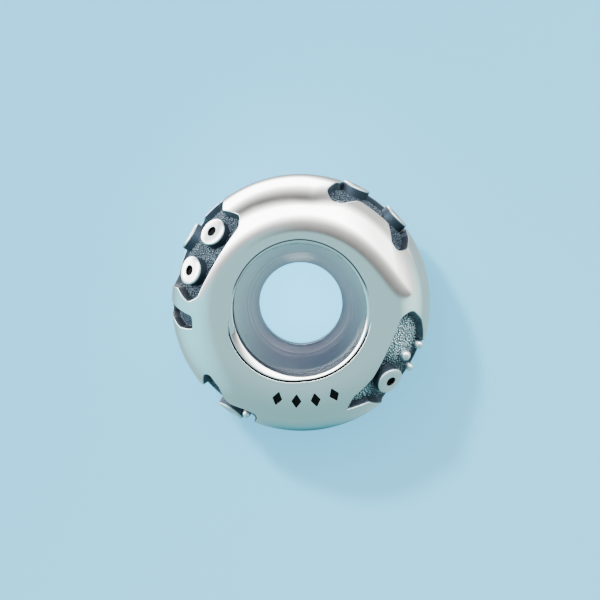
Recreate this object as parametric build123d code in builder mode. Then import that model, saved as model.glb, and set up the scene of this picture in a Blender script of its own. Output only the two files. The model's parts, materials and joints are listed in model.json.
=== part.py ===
from collections import namedtuple
from math import cos, radians, sin, tan
import os

from build123d import *

os.makedirs("parts", exist_ok=True)

# A round charm bead that lies on its side, in millimetres.
# +Z is the bore's axis, and the bead stands on Z = 0. "around" is the angle about the axis, from +X
# towards +Y. "pitch" is the angle round the half-round band, from its middle up towards the front face.

# Driving dimensions of the silver bead
bead_diameter = 10.0
section_radius = 2.22           # of the half-round band
rim_width = 0.12                # flat of each face, from the band in to the bore's lip
lip_rounding = 0.04
lip_slope = 0.11                # how far in each lip's slope runs, over the ring
throat_depth = 0.82             # from a face down to the throat
throat_land = 0.06              # the throat's own thickness
groove_depth = 0.55             # of the groove that holds the ring, out from the throat

# Driving dimensions of the silicone ring
ring_clearance = 0.03
hole_radius = 1.60
hole_land = 0.50
crease_radius = 2.00
crease_height = 0.55            # above the bead's middle
hole_rounding = 0.12
crease_rounding = 0.25
same_radius = 0.001             # corners of a profile this near in radius are one pair

# Driving dimensions of the ornament
recess_depth = 0.32
corner_radius = 0.12            # the unit of the corner column below
root_overlap = 0.15             # how far raised pieces reach into the floor
button_radius = 0.55
button_rise = 0.08              # above the band's surface
button_rounding = 0.06
pupil_radius = 0.19
pupil_depth = 0.16
dome_rise = 0.05
mark_length = 0.62
mark_width = 0.38
mark_depth = 0.06

# Each recess's walls fan out from a focus inside the band, so that they stand nearly square to it.
focus_depth = 3.2
tool_bottom = 1.5               # the cutting tool's ends, above the focus
tool_top = 3.7
outline_height = 2.8            # where a corner has its stated rounding, above the focus
wall_share = 0.49               # of a wall that one end's rounding may take

# Worked out from them
half_width = section_radius
core_radius = bead_diameter / 2 - section_radius    # of the circle through the section's centre
lip_radius = core_radius - rim_width                # bore edge on each face
throat_radius = lip_radius - lip_slope              # narrowest part of the silver
groove_radius = throat_radius + groove_depth
floor_radius = section_radius - recess_depth
root_depth = recess_depth + root_overlap            # how far down raised pieces start
throat_height = half_width - throat_depth
groove_height = throat_height - throat_land
ring_height = groove_height - ring_clearance
ring_radius = groove_radius - ring_clearance
ring_mouth_radius = throat_radius - ring_clearance

# Each recess has a heading (around) and a pitch at its middle, and an outline of corners. A corner's
# columns are its turn from the heading and its pitch, both in degrees, and its rounding as a share of
# corner_radius.
Recess = namedtuple("Recess", "name heading pitch corners")
RECESSES = (
    Recess("two_eyed", 150.0, 20.0, (
        (26.9, 46.5, 2.0), (23.5, 58.0, 2.5), (-23.5, 58.5, 2.5), (-27.4, 48.0, 2.0),
        (-21.2, 27.0, 1.0), (-23.5, 4.0, 2.0), (-20.0, -4.0, 1.5), (-12.0, -4.0, 1.0),
        (-9.5, -18.0, 2.0), (19.0, -19.0, 2.5), (22.6, -8.0, 2.0), (21.5, 26.0, 1.0))),
    Recess("horned", 53.3, 14.0, (
        (24.2, 34.0, 3.5), (20.0, 46.5, 2.5), (14.5, 44.0, 2.5), (8.0, 30.5, 2.5),
        (-9.5, 30.5, 2.5), (-17.5, 45.0, 2.5), (-22.6, 45.0, 2.0), (-24.8, 32.0, 3.5),
        (-20.3, 12.5, 0.8), (-18.3, 9.0, 0.8), (-18.5, -18.0, 2.5), (18.5, -18.0, 2.5),
        (18.3, 9.0, 0.8), (20.3, 12.5, 0.8))),
    Recess("one_eyed", -33.5, 22.0, (
        (32.8, 46.0, 3.0), (29.0, 59.8, 3.5), (-10.0, 60.3, 6.0), (-25.5, 57.0, 6.0),
        (-32.4, 45.0, 0.5), (-20.6, 36.5, 1.0), (-18.0, 18.0, 2.0), (-16.5, -16.0, 3.0),
        (15.5, -16.0, 3.0), (17.5, 15.0, 2.0), (27.5, 30.0, 4.0))),
    Recess("saddle", 232.3, 12.0, (
        (16.8, 31.0, 1.0), (15.6, 38.5, 1.2), (9.5, 38.5, 3.0), (0.7, 29.8, 3.0),
        (-7.5, 43.0, 3.0), (-15.8, 45.0, 1.4), (-17.0, 37.0, 2.5), (-12.2, 18.0, 2.0),
        (-16.5, -4.0, 2.0), (-17.0, -18.0, 1.8), (17.0, -18.0, 3.0), (16.5, 8.0, 2.0))),
    Recess("strip", 184.5, 22.0, (
        (6.6, 50.3, 1.0), (-0.2, 51.3, 1.0), (-5.4, 12.0, 4.0), (-5.6, -8.0, 1.2),
        (-0.8, -8.0, 1.2), (1.6, 14.0, 3.0), (5.4, 30.0, 3.0))),
)

# Raised round buttons, each with a punched centre
Button = namedtuple("Button", "around pitch")
BUTTONS = (
    Button(161.2, 41.5), Button(138.9, 41.5), Button(148.7, -1.0), Button(64.5, -2.0),
    Button(42.5, -2.0), Button(-39.2, 40.5), Button(236.8, 12.0),
)

# Small raised domes. share is of button_radius.
Dome = namedtuple("Dome", "around pitch share")
DOMES = (
    Dome(-24.7, 36.0, 0.38), Dome(-18.7, 14.0, 0.30), Dome(-30.0, 11.0, 0.27), Dome(243.7, 25.0, 0.30),
)

# Plain lozenge punches in a row on the front face
MARK_PITCH = 70.0
MARK_HEADINGS = (-104.0, -92.0, -80.0, -68.0)


def surface_normal(around, pitch):
    """Direction out of the band's surface."""
    flat = cos(radians(pitch))
    return Vector(flat * cos(radians(around)), flat * sin(radians(around)), sin(radians(pitch)))


def surface_point(around, pitch, lift=0.0):
    """Point on the band's surface, or lift above it."""
    centre = Vector(cos(radians(around)), sin(radians(around)), 0) * core_radius
    return centre + Vector(0, 0, half_width) + surface_normal(around, pitch) * (section_radius + lift)


def surface_plane(around, pitch, lift=0.0):
    """Plane that touches the band, with its X along the band and its Y towards the front face."""
    along = Vector(-sin(radians(around)), cos(radians(around)), 0)
    return Plane(origin=surface_point(around, pitch, lift), x_dir=along, z_dir=surface_normal(around, pitch))


def recess_outline(recess, reach):
    """The recess's corners seen from its focus, on the plane that lies reach above the focus."""
    base = surface_plane(recess.heading, recess.pitch, -focus_depth)
    corners = []
    for turn, pitch, _ in recess.corners:
        seen = base.to_local_coords(surface_point(recess.heading + turn, pitch))
        corners.append(Vector(seen.X * reach / seen.Z, seen.Y * reach / seen.Z))
    return corners


def corner_roundings(recess, outline, rounding):
    """The recess's corner radii, each no larger than the two walls beside it have room for."""
    radii = []
    for index, corner in enumerate(outline):
        wall = corner - outline[index - 1]
        next_wall = outline[(index + 1) % len(outline)] - corner
        room = wall_share * min(wall.length, next_wall.length)
        half_turn = radians(wall.get_angle(next_wall) / 2)
        radii.append(min(recess.corners[index][2] * rounding, room / tan(half_turn)))
    return radii


def corners_at(corners, radius):
    """Those corners of a profile that lie at one radius."""
    return [corner for corner in corners if abs(corner.X - radius) < same_radius]


# Solid below every recess's floor
with BuildPart() as floor_core:
    with BuildSketch(Plane.XZ):
        with Locations((core_radius, half_width)):
            Circle(floor_radius)
        with Locations((core_radius / 2, half_width)):
            Rectangle(core_radius, 2 * floor_radius)
    revolve(axis=Axis.Z)


def recess_tool(recess):
    """What one recess takes out of the band."""
    with BuildPart() as tool:
        for reach in (tool_bottom, tool_top):
            outline = recess_outline(recess, reach)
            radii = corner_roundings(recess, outline, corner_radius * reach / outline_height)
            with BuildSketch(surface_plane(recess.heading, recess.pitch, reach - focus_depth)):
                with BuildLine():
                    FilletPolyline(*outline, radius=radii, close=True)
                make_face()
        loft(ruled=True)
        add(floor_core.part, mode=Mode.SUBTRACT)
    return tool.part


# One round button with a punched centre, standing on its root with its axis on Z
with BuildPart() as button:
    Cylinder(button_radius, root_depth + button_rise, align=(Align.CENTER, Align.CENTER, Align.MIN))
    fillet(button.faces().sort_by(Axis.Z)[-1].edges(), button_rounding)
    with Locations((0, 0, root_depth + button_rise)):
        Hole(pupil_radius, depth=pupil_depth)

with BuildPart() as bead_body:
    with BuildSketch(Plane.XZ):
        with BuildLine():
            band = ThreePointArc(
                (core_radius, 2 * half_width), (bead_diameter / 2, half_width), (core_radius, 0)
            )
            lip_front = (lip_radius, 2 * half_width)
            lip_back = (lip_radius, 0)
            Polyline(
                band @ 1,
                lip_back,
                (throat_radius, half_width - throat_height),
                (throat_radius, half_width - groove_height),
                (groove_radius, half_width - groove_height),
                (groove_radius, half_width + groove_height),
                (throat_radius, half_width + groove_height),
                (throat_radius, half_width + throat_height),
                lip_front,
                band @ 0,
            )
        make_face()
        fillet(corners_at(vertices(), lip_radius), lip_rounding)
    revolve(axis=Axis.Z)
    for recess in RECESSES:
        add(recess_tool(recess), mode=Mode.SUBTRACT)
    for row in BUTTONS:
        with Locations(surface_plane(row.around, row.pitch, -root_depth)):
            add(button.part)
    for row in DOMES:
        dome_radius = row.share * button_radius
        with Locations(surface_plane(row.around, row.pitch, -root_depth)):
            Cylinder(
                dome_radius, root_depth + dome_rise - dome_radius,
                align=(Align.CENTER, Align.CENTER, Align.MIN),
            )
        with Locations(surface_plane(row.around, row.pitch, dome_rise - dome_radius)):
            Sphere(dome_radius)
    for heading in MARK_HEADINGS:
        with BuildSketch(surface_plane(heading, MARK_PITCH, -mark_depth)):
            Polygon((0, mark_length / 2), (mark_width / 2, 0), (0, -mark_length / 2), (-mark_width / 2, 0))
        extrude(amount=2 * mark_depth, mode=Mode.SUBTRACT)

with BuildPart() as stopper_ring:
    with BuildSketch(Plane.XZ):
        with BuildLine():
            Polyline(
                (ring_radius, half_width - ring_height),
                (ring_radius, half_width + ring_height),
                (ring_mouth_radius, half_width + ring_height),
                (crease_radius, half_width + crease_height),
                (hole_radius, half_width + hole_land / 2),
                (hole_radius, half_width - hole_land / 2),
                (crease_radius, half_width - crease_height),
                (ring_mouth_radius, half_width - ring_height),
                close=True,
            )
        make_face()
        fillet(corners_at(vertices(), hole_radius), hole_rounding)
        fillet(corners_at(vertices(), crease_radius), crease_rounding)
    revolve(axis=Axis.Z)

bead_body.part.label = "bead_body"
stopper_ring.part.label = "stopper_ring"
export_step(bead_body.part, "parts/bead_body.step")
export_step(stopper_ring.part, "parts/stopper_ring.step")

print("bead", bead_body.part.bounding_box(), bead_body.part.volume, len(bead_body.solids()))
print("ring", stopper_ring.part.bounding_box(), stopper_ring.part.volume)
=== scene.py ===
# %% [markdown]
# # A silver charm bead with a stopper ring
# The bead is a cast, polished silver ring with a half-round band, five sunk patches with a pebbled and
# blackened floor, raised round buttons, and a soft translucent ring in its bore that grips a chain.
# The frame below is the measured CAD model. Everything built here stands exactly where it says.

# %% Load the measured frame
import json
from collections import namedtuple
from math import ceil, cos, pi, radians, sin, sqrt, tan
import bmesh
import bpy
import numpy as np
from mathutils import Matrix, Vector
from mathutils.geometry import delaunay_2d_cdt

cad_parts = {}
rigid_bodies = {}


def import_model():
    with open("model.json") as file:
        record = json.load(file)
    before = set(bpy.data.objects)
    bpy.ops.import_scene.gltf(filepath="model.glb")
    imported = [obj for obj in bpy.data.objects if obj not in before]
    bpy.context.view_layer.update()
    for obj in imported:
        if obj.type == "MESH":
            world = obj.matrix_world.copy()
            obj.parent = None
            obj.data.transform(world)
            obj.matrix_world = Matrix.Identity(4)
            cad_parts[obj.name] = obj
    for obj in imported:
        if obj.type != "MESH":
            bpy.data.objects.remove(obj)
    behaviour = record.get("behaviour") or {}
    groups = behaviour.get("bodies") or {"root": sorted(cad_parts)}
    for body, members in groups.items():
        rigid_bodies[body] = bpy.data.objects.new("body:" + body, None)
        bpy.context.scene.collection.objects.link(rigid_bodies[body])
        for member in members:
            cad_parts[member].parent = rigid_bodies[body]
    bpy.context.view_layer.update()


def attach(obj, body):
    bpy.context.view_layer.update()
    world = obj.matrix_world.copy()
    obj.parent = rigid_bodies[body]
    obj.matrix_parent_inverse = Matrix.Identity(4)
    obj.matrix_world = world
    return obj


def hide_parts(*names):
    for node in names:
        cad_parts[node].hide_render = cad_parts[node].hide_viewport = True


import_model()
MM = 0.001

# %% [markdown]
# ## The camera
# The photograph looks almost straight along the bore, from a little above it and a little to the right,
# with a long lens. A camera can be aimed with a constraint, by Euler angles or with a matrix. A matrix is
# surest here, because the bead lies on its side and the camera looks nearly straight down, where "up" has
# to be named: up in the picture is the bead's +Y.

# %% Camera
PICTURE_SIZE = 600
PIXELS_PER_MM = 25.82
CAMERA_DISTANCE = 150.0
BEAD_MIDDLE = Vector((0.0, 0.0, 2.22))
VIEW_LEAN = (0.0233, 0.1333)        # of the direction from the bead to the camera, along X and Y
PICTURE_OFFSET = (0.9, 2.7)         # of the bead's middle from the picture's, in pixels right and down


def look_along(lean, distance, aim):
    """Matrix of a camera that stands off from aim along lean, with the picture's up towards +Y."""
    back = Vector((lean[0], lean[1], sqrt(1 - lean[0] ** 2 - lean[1] ** 2)))
    right = Vector((0, 1, 0)).cross(back).normalized()
    up = back.cross(right)
    middle = aim - right * PICTURE_OFFSET[0] / PIXELS_PER_MM + up * PICTURE_OFFSET[1] / PIXELS_PER_MM
    turn = Matrix((right, up, back)).transposed().to_4x4()
    return Matrix.Translation((middle + back * distance) * MM) @ turn


camera_data = bpy.data.cameras.new("camera")
camera_data.sensor_width = 36.0
camera_data.lens = PIXELS_PER_MM * CAMERA_DISTANCE * camera_data.sensor_width / PICTURE_SIZE
camera_data.clip_start = 0.001
camera = bpy.data.objects.new("camera", camera_data)
camera.matrix_world = look_along(VIEW_LEAN, CAMERA_DISTANCE, BEAD_MIDDLE)
bpy.context.collection.objects.link(camera)
bpy.context.scene.camera = camera
print("lens", round(camera_data.lens, 1), "mm")

# %% [markdown]
# ## The band's surface
# The band is a half circle turned round the bore: a half torus. Each point on it has two angles, around
# the bore and up from the middle, which this file calls around and pitch. Working in those two angles
# keeps every curve exactly on the surface, and gives the exact normal for clean reflections.

# %% Points and normals of the band, from two angles in radians
SECTION = 2.22                      # radius of the half-round section
CORE = 2.78                         # radius of the circle through the section's middle
HALF = 2.22                         # half the bead's width


def band_normal(around, pitch):
    """Directions straight out of the band."""
    flat = np.cos(pitch)
    return np.stack([flat * np.cos(around), flat * np.sin(around), np.sin(pitch) * np.ones_like(around)], -1)


def band_point(around, pitch, lift=0.0):
    """Points of the band, or of a surface lift above it, in millimetres."""
    spine = np.stack([CORE * np.cos(around), CORE * np.sin(around), HALF * np.ones_like(around)], -1)
    return spine + (SECTION + lift) * band_normal(around, pitch)


def band_angles(points, heading):
    """The two angles of points near the band, counted within half a turn of a heading."""
    around = np.arctan2(points[:, 1], points[:, 0])
    pitch = np.arctan2(points[:, 2] - HALF, np.hypot(points[:, 0], points[:, 1]) - CORE)
    return np.stack([heading + (around - heading + pi) % (2 * pi) - pi, pitch], -1)


def tangent_frame(around, pitch):
    """Along the band, up towards the front face, and out of the surface, at one place."""
    out = band_normal(around, pitch)
    along = np.array([-sin(around), cos(around), 0.0])
    return along, np.cross(out, along), out


print("top of the band:", band_point(0.0, pi / 2))

# %% [markdown]
# ## The patches' outlines
# On the real bead the patches are pressed into the wax model before casting, so each has a flowing
# outline with rounded corners and walls that stand nearly square to the band. The table gives corners in
# degrees from each patch's heading, and the rounding of each corner. The outline is drawn flat on a plane
# over the patch and thrown onto the band along rays from a focus inside it, which is how the CAD cuts it.

# %% Table of the patches
Patch = namedtuple("Patch", "name heading pitch corners")
PATCHES = (
    Patch("two_eyed", 150.0, 20.0, (
        (26.9, 46.5, 2.0), (23.5, 58.0, 2.5), (-23.5, 58.5, 2.5), (-27.4, 48.0, 2.0),
        (-21.2, 27.0, 1.0), (-23.5, 4.0, 2.0), (-20.0, -4.0, 1.5), (-12.0, -4.0, 1.0),
        (-9.5, -18.0, 2.0), (19.0, -19.0, 2.5), (22.6, -8.0, 2.0), (21.5, 26.0, 1.0))),
    Patch("horned", 413.3, 14.0, (
        (24.2, 34.0, 3.5), (20.0, 46.5, 2.5), (14.5, 44.0, 2.5), (8.0, 30.5, 2.5),
        (-9.5, 30.5, 2.5), (-17.5, 45.0, 2.5), (-22.6, 45.0, 2.0), (-24.8, 32.0, 3.5),
        (-20.3, 12.5, 0.8), (-18.3, 9.0, 0.8), (-18.5, -18.0, 2.5), (18.5, -18.0, 2.5),
        (18.3, 9.0, 0.8), (20.3, 12.5, 0.8))),
    Patch("one_eyed", 326.5, 22.0, (
        (32.8, 46.0, 3.0), (29.0, 59.8, 3.5), (-10.0, 60.3, 6.0), (-25.5, 57.0, 6.0),
        (-32.4, 45.0, 0.5), (-20.6, 36.5, 1.0), (-18.0, 18.0, 2.0), (-16.5, -16.0, 3.0),
        (15.5, -16.0, 3.0), (17.5, 15.0, 2.0), (27.5, 30.0, 4.0))),
    Patch("saddle", 232.3, 12.0, (
        (16.8, 31.0, 1.0), (15.6, 38.5, 1.2), (9.5, 38.5, 3.0), (0.7, 29.8, 3.0),
        (-7.5, 43.0, 3.0), (-15.8, 45.0, 1.4), (-17.0, 37.0, 2.5), (-12.2, 18.0, 2.0),
        (-16.5, -4.0, 2.0), (-17.0, -18.0, 1.8), (17.0, -18.0, 3.0), (16.5, 8.0, 2.0))),
    Patch("strip", 184.5, 22.0, (
        (6.6, 50.3, 1.0), (-0.2, 51.3, 1.0), (-5.4, 12.0, 4.0), (-5.6, -8.0, 1.2),
        (-0.8, -8.0, 1.2), (1.6, 14.0, 3.0), (5.4, 30.0, 3.0))),
)
CORNER_UNIT = 0.12                  # millimetres on the flat outline for each unit of rounding
PATCH_DEPTH = 0.32
print(len(PATCHES), "patches,", sum(len(patch.corners) for patch in PATCHES), "corners")

# %% A closed polygon with each corner rounded
SIDE_SHARE = 0.49                   # of a side that one corner's rounding may take
ARC_TURN, ARC_STEP = radians(18.0), 0.035       # the most that one step of an arc turns, and its length
SIDE_STEP = 0.075


def rounded(corners, radii):
    """Points along a closed polygon whose corners are arcs."""
    count = len(corners)
    sides = [corners[(i + 1) % count] - corners[i] for i in range(count)]
    turns = [pi - (-sides[i - 1]).angle(sides[i]) for i in range(count)]
    cuts = [min(radii[i] * tan(turns[i] / 2), SIDE_SHARE * min(sides[i - 1].length, sides[i].length))
            for i in range(count)]
    points = []
    for i, (corner, turn, cut) in enumerate(zip(corners, turns, cuts)):
        before, on = sides[i - 1].normalized(), sides[i].normalized()
        way = 1 if before.cross(on) > 0 else -1
        start, radius = corner - before * cut, cut / tan(turn / 2)
        centre = start + Vector((-before.y, before.x)) * way * radius
        arm = start - centre
        steps = max(2, ceil(turn / ARC_TURN), ceil(turn * radius / ARC_STEP))
        for k in range(steps + 1):
            a = way * turn * k / steps
            points.append(centre + Vector((arm.x * cos(a) - arm.y * sin(a), arm.x * sin(a) + arm.y * cos(a))))
        end, target = corner + on * cut, corners[(i + 1) % count] - on * cuts[(i + 1) % count]
        steps = ceil((target - end).length / SIDE_STEP)
        points += [end.lerp(target, k / steps) for k in range(1, steps)]
    return np.array([tuple(point) for point in points])


square = [Vector(corner) for corner in ((1, 1), (-1, 1), (-1, -1), (1, -1))]
print("a rounded square reaches", rounded(square, [0.2] * 4).max(axis=0))

# %% Rays from each patch's focus, and where they meet the band at any depth
FOCUS_DEPTH = 3.2                   # of the focus below the band
OUTLINE_HEIGHT = 2.8                # of the flat outline above the focus
CROSSING = (0.4, 1.6)               # the band lies between these shares of each ray's length
HALVINGS = 40


def patch_rays(patch):
    """The patch's focus, and a ray through each point of its rounded outline."""
    heading, pitch = radians(patch.heading), radians(patch.pitch)
    along, up, out = tangent_frame(heading, pitch)
    focus = band_point(heading, pitch) - FOCUS_DEPTH * out
    corners = []
    for turn, height, _ in patch.corners:
        seen = band_point(heading + radians(turn), radians(height)) - focus
        scale = OUTLINE_HEIGHT / (seen @ out)
        corners.append(Vector((seen @ along * scale, seen @ up * scale)))
    flat = rounded(corners, [rounding * CORNER_UNIT for _, _, rounding in patch.corners])
    return focus, flat[:, :1] * along + flat[:, 1:] * up + OUTLINE_HEIGHT * out


def where_rays_meet(focus, rays, lift, heading):
    """Angles where the rays cross the band's surface, or a surface lift above it."""
    low, high = [np.full(len(rays), share) for share in CROSSING]
    for _ in range(HALVINGS):
        middle = (low + high) / 2
        points = focus + middle[:, None] * rays
        from_core = np.hypot(np.hypot(points[:, 0], points[:, 1]) - CORE, points[:, 2] - HALF)
        short = from_core < SECTION + lift
        low, high = np.where(short, middle, low), np.where(short, high, middle)
    return band_angles(focus + low[:, None] * rays, heading)


focus, rays = patch_rays(PATCHES[0])
print("first patch:", len(rays), "outline points")

# %% [markdown]
# ## Walls of a sunk patch
# A polished edge is never perfectly sharp: the buffing wheel rounds it over by a few hundredths of a
# millimetre, and that thin rounding is what catches the light as a bright line. So each wall is a stack
# of rows of the same outline: a rounding at the top, the wall itself, and a rounding at the floor. Bevel
# could round a cut edge too, but rows follow the curved band exactly and keep their count of points. Each
# row also carries its oxide, the blackening that it kept: none on the rim, and most on walls that gather
# soot. On top of that, walls are painted darker where they look up to +Y and lighter where they look down.
# This is painted shade, and their rounded rims share it, except near 300 degrees round the bead.

# %% Rows of a wall, from the band down to the floor
EDGE_ROUNDING, FLOOR_ROUNDING = 0.035, 0.02
# Rows of the rounded edge: degrees, share of the wall's oxide and painted shade on a bright rim, and how much
# more elsewhere
EDGE_OXIDE = ((0, 0.0, 0.0), (30, 0.0, 0.12), (60, 0.0, 0.60), (90, 0.40, 0.60))
WALL_OXIDE_AND_SHADE = (1.5, 1.0, 0.88)       # oxide with painted shade, where a wall looks up to +Y, neither way, and down
PAINTED_SHADE_FROM = 1.2                         # a wall made darker than this by painted shade, because it looks up to +Y, may have a bright rim
BRIGHT_RIM_AT, BRIGHT_RIM_REACH = 300.0, 12.0   # degrees round the bead
PROBE = 0.01
Row = namedtuple("Row", "angles lift oxide")


def stepped_out(angles, distance):
    """The outline moved outwards along the band by a distance in millimetres."""
    scale = np.stack([CORE + SECTION * np.cos(angles[:, 1]), np.full(len(angles), SECTION)], -1)
    flow = (np.roll(angles, -1, axis=0) - np.roll(angles, 1, axis=0)) * scale
    flow /= np.linalg.norm(flow, axis=1)[:, None]
    return angles + distance * np.stack([flow[:, 1], -flow[:, 0]], -1) / scale


def wall_rows(outline_at, depth, edge, foot):
    """Rows from the rim of a sunk shape to its floor. outline_at(lift) gives its outline."""
    outline = outline_at(0.0)
    outwards = (band_point(*stepped_out(outline, PROBE).T) - band_point(*outline.T)) / PROBE
    # Painted shade: each wall is darker where it looks up to +Y and lighter where it looks down
    kept_oxide_and_shade = np.interp(outwards[:, 1], (-1, 0, 1), WALL_OXIDE_AND_SHADE)
    # Painted shade on the rims of walls that look up to +Y, left off near 300 degrees round the bead
    from_bright = (np.degrees(outline[:, 0]) - BRIGHT_RIM_AT) / BRIGHT_RIM_REACH
    rim = np.where(kept_oxide_and_shade > PAINTED_SHADE_FROM, 1 - np.exp(-from_bright ** 2), 1.0)
    rows = []
    for degrees, least, more in EDGE_OXIDE:
        a = radians(degrees)
        lift = -edge * (1 - cos(a))
        angles = stepped_out(outline_at(lift), edge * (1 - sin(a)))
        rows.append(Row(angles, lift, (least + more * rim) * kept_oxide_and_shade))
    rows += [Row(outline_at(lift), lift, kept_oxide_and_shade) for lift in np.linspace(-edge, -(depth - foot), 4)[1:-1]]
    for degrees in (0, 30, 60, 90):
        a = radians(degrees)
        lift = -(depth - foot) - foot * sin(a)
        rows.append(Row(stepped_out(outline_at(lift), foot * (cos(a) - 1)), lift, 1.0 if degrees else kept_oxide_and_shade))
    return rows


def patch_rows(patch):
    """Rows of one patch's wall."""
    focus, rays = patch_rays(patch)
    heading = radians(patch.heading)
    return wall_rows(lambda lift: where_rays_meet(focus, rays, lift, heading),
                     PATCH_DEPTH, EDGE_ROUNDING, FLOOR_ROUNDING)


sunk = [patch_rows(patch) for patch in PATCHES]
print("rows in a wall:", len(sunk[0]), "points in the outlines:", [len(rows[0].angles) for rows in sunk])

# %% [markdown]
# ## Punch marks on the face
# A maker strikes small marks into the face of a bead. Here it is a plain row of four lozenges. They are
# sunk in the same way as the patches, only much shallower.

# %% Lozenge punch marks
MARK_PITCH = 70.0
MARK_HEADINGS = (256.0, 268.0, 280.0, 292.0)
MARK_LENGTH, MARK_WIDTH, MARK_DEPTH = 0.62, 0.38, 0.06
MARK_CORNER, MARK_EDGE, MARK_FOOT = 0.03, 0.012, 0.02   # roundings of its corners, its rim and its foot
MARK_SOOT = 2                       # times the oxide of a patch's wall


def mark_rows(heading):
    """Rows of one mark's wall."""
    around, pitch = radians(heading), radians(MARK_PITCH)
    along, up, _ = tangent_frame(around, pitch)
    wide, high = MARK_WIDTH / 2, MARK_LENGTH / 2
    flat = rounded([Vector(c) for c in ((wide, 0), (0, high), (-wide, 0), (0, -high))], [MARK_CORNER] * 4)
    angles = band_angles(band_point(around, pitch) + flat[:, :1] * along + flat[:, 1:] * up, around)
    rows = wall_rows(lambda lift: angles, MARK_DEPTH, MARK_EDGE, MARK_FOOT)
    return [row._replace(oxide=MARK_SOOT * row.oxide) for row in rows]


sunk += [mark_rows(heading) for heading in MARK_HEADINGS]
print(len(sunk), "sunk shapes")

# %% [markdown]
# ## Filling between outlines
# The polished band round the patches and each patch's floor are sheets with curved edges. A Delaunay
# triangulation joins an even scatter of points to those edges without a gap. A boolean cut would also
# work, but its long thin triangles show up in a mirror finish.

# %% Which points lie inside an outline, and triangles between outlines
SPREAD = np.array([4.6, SECTION])   # turns the two angles into millimetres, near enough for triangles


def inside(points, loop):
    """True for each point within a closed loop."""
    x, y = points[:, 0], points[:, 1]
    result = np.zeros(len(points), bool)
    ends = np.roll(loop, -1, axis=0)
    for (x0, y0), (x1, y1) in zip(loop, ends):
        if y0 != y1:
            crosses = (y0 > y) != (y1 > y)
            result ^= crosses & (x < (x1 - x0) * (y - y0) / (y1 - y0) + x0)
    return result


def clear_of(points, loop, gap):
    """True for each point further than gap from every point of a loop."""
    near = (points[:, None, 0] - loop[None, :, 0]) ** 2 + (points[:, None, 1] - loop[None, :, 1]) ** 2
    return near.min(axis=1) > gap * gap


def triangles(points, loops):
    """Delaunay triangles of the points, with each loop of indices kept as edges."""
    edges = [(a, b) for loop in loops for a, b in zip(loop, loop[1:] + loop[:1])]
    coords = [Vector(point) for point in points]
    made, _, faces, origin, _, _ = delaunay_2d_cdt(coords, edges, [], 0, 1e-7)
    source = [ids[0] for ids in origin]
    assert len(made) == len(points), "outlines cross"
    return np.array([[source[i] for i in face] for face in faces])


def faces_by(points, faces, loop, within=True):
    """The triangles whose middles lie inside a loop, or else those outside it."""
    return faces[inside(points[faces].mean(axis=1), loop) == within]


print("inside and outside a square:", inside(np.array([[0.0, 0.0], [2.0, 0.0]]), np.array(square)))

# %% Floor of each sunk shape
FLOOR_SPACING, MARK_SPACING = 0.10, 0.06
ROW_SPACING = 0.87                  # height of an even triangle, as a share of its side


def floor_of(rows, spacing):
    """Angles of a floor's inner points, and its triangles over the last row and them."""
    loop = rows[-1].angles * SPREAD
    low, high = loop.min(axis=0), loop.max(axis=0)
    x, y = np.meshgrid(np.arange(low[0], high[0], spacing), np.arange(low[1], high[1], spacing * ROW_SPACING))
    x = x + (np.arange(len(x)) % 2)[:, None] * spacing / 2
    grid = np.stack([x.ravel(), y.ravel()], -1)
    grid = grid[inside(grid, loop)]
    grid = grid[clear_of(grid, loop, spacing / 2)]
    points = np.concatenate([loop, grid])
    return grid / SPREAD, faces_by(points, triangles(points, [list(range(len(loop)))]), loop)


floors = [floor_of(rows, FLOOR_SPACING) for rows in sunk[:len(PATCHES)]]
floors += [floor_of(rows, MARK_SPACING) for rows in sunk[len(PATCHES):]]
print("floor triangles:", [len(faces) for _, faces in floors])

# %% The polished sheet of the band, round every sunk shape
SEAM = radians(100.0)               # a polished place where the flat sheet begins and ends
COLUMNS, RISES = 360, 80            # steps round the band, and from the back face's edge up to the front's
SHEET_GAP = 0.045                   # between the sheet's even points and an outline
WIDEST_AT, WIDEST_BY = radians(-137.0), 0.16    # where the front lip's chamfer is widest, and by how much
WIDENING_ENDS = 1.8                 # half turns in which the widening comes and goes
NARROWED_AT = (0.0, 30.0, 90.0, 150.0, 185.0, 200.0)            # degrees round the lip
NARROWED_BY = (0.0, 0.05, 0.0, 0.085, 0.085, 0.0)


def extra_chamfer(around):
    """How much further the front lip's chamfer reaches over the face at each angle, or less far."""
    turn = (around - WIDEST_AT + pi) % (2 * pi) - pi
    wider = WIDEST_BY * np.clip(np.cos(np.clip(WIDENING_ENDS * turn, -pi, pi)), 0.0, 1.0)
    return wider - np.interp((np.degrees(around) + 90) % 360 - 90, NARROWED_AT, NARROWED_BY)


def face_edge(around):
    """Pitch at which the band ends and the front lip begins."""
    return np.arccos(extra_chamfer(around) / SECTION)


def edge_line(around, pitch):
    """Angles along one edge of the sheet."""
    return np.stack(np.broadcast_arrays(around, pitch), -1)


rises = np.linspace(-pi / 2, pi / 2, RISES + 1)
columns = SEAM + np.linspace(0, 2 * pi, COLUMNS + 1)
around, pitch = np.meshgrid(columns, rises)
around = around + (np.arange(RISES + 1) % 2)[:, None] * (pi / COLUMNS)
grid = np.stack([around[1:-1, 1:-1].ravel(), pitch[1:-1, 1:-1].ravel()], -1)
grid = grid[grid[:, 1] < face_edge(grid[:, 0]) - SHEET_GAP / SECTION] * SPREAD
rims = [rows[0].angles * SPREAD for rows in sunk]
for rim in rims:
    grid = grid[~inside(grid, rim)]
    grid = grid[clear_of(grid, rim, SHEET_GAP)]
border = np.concatenate([edge_line(columns, -pi / 2), edge_line(columns[-1], rises[1:-1]),
                         edge_line(columns, face_edge(columns))[::-1], edge_line(columns[0], rises[-2:0:-1])])
border = border * SPREAD
sheet = [border] + rims + [grid]
starts = np.cumsum([0] + [len(part) for part in sheet])
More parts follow.
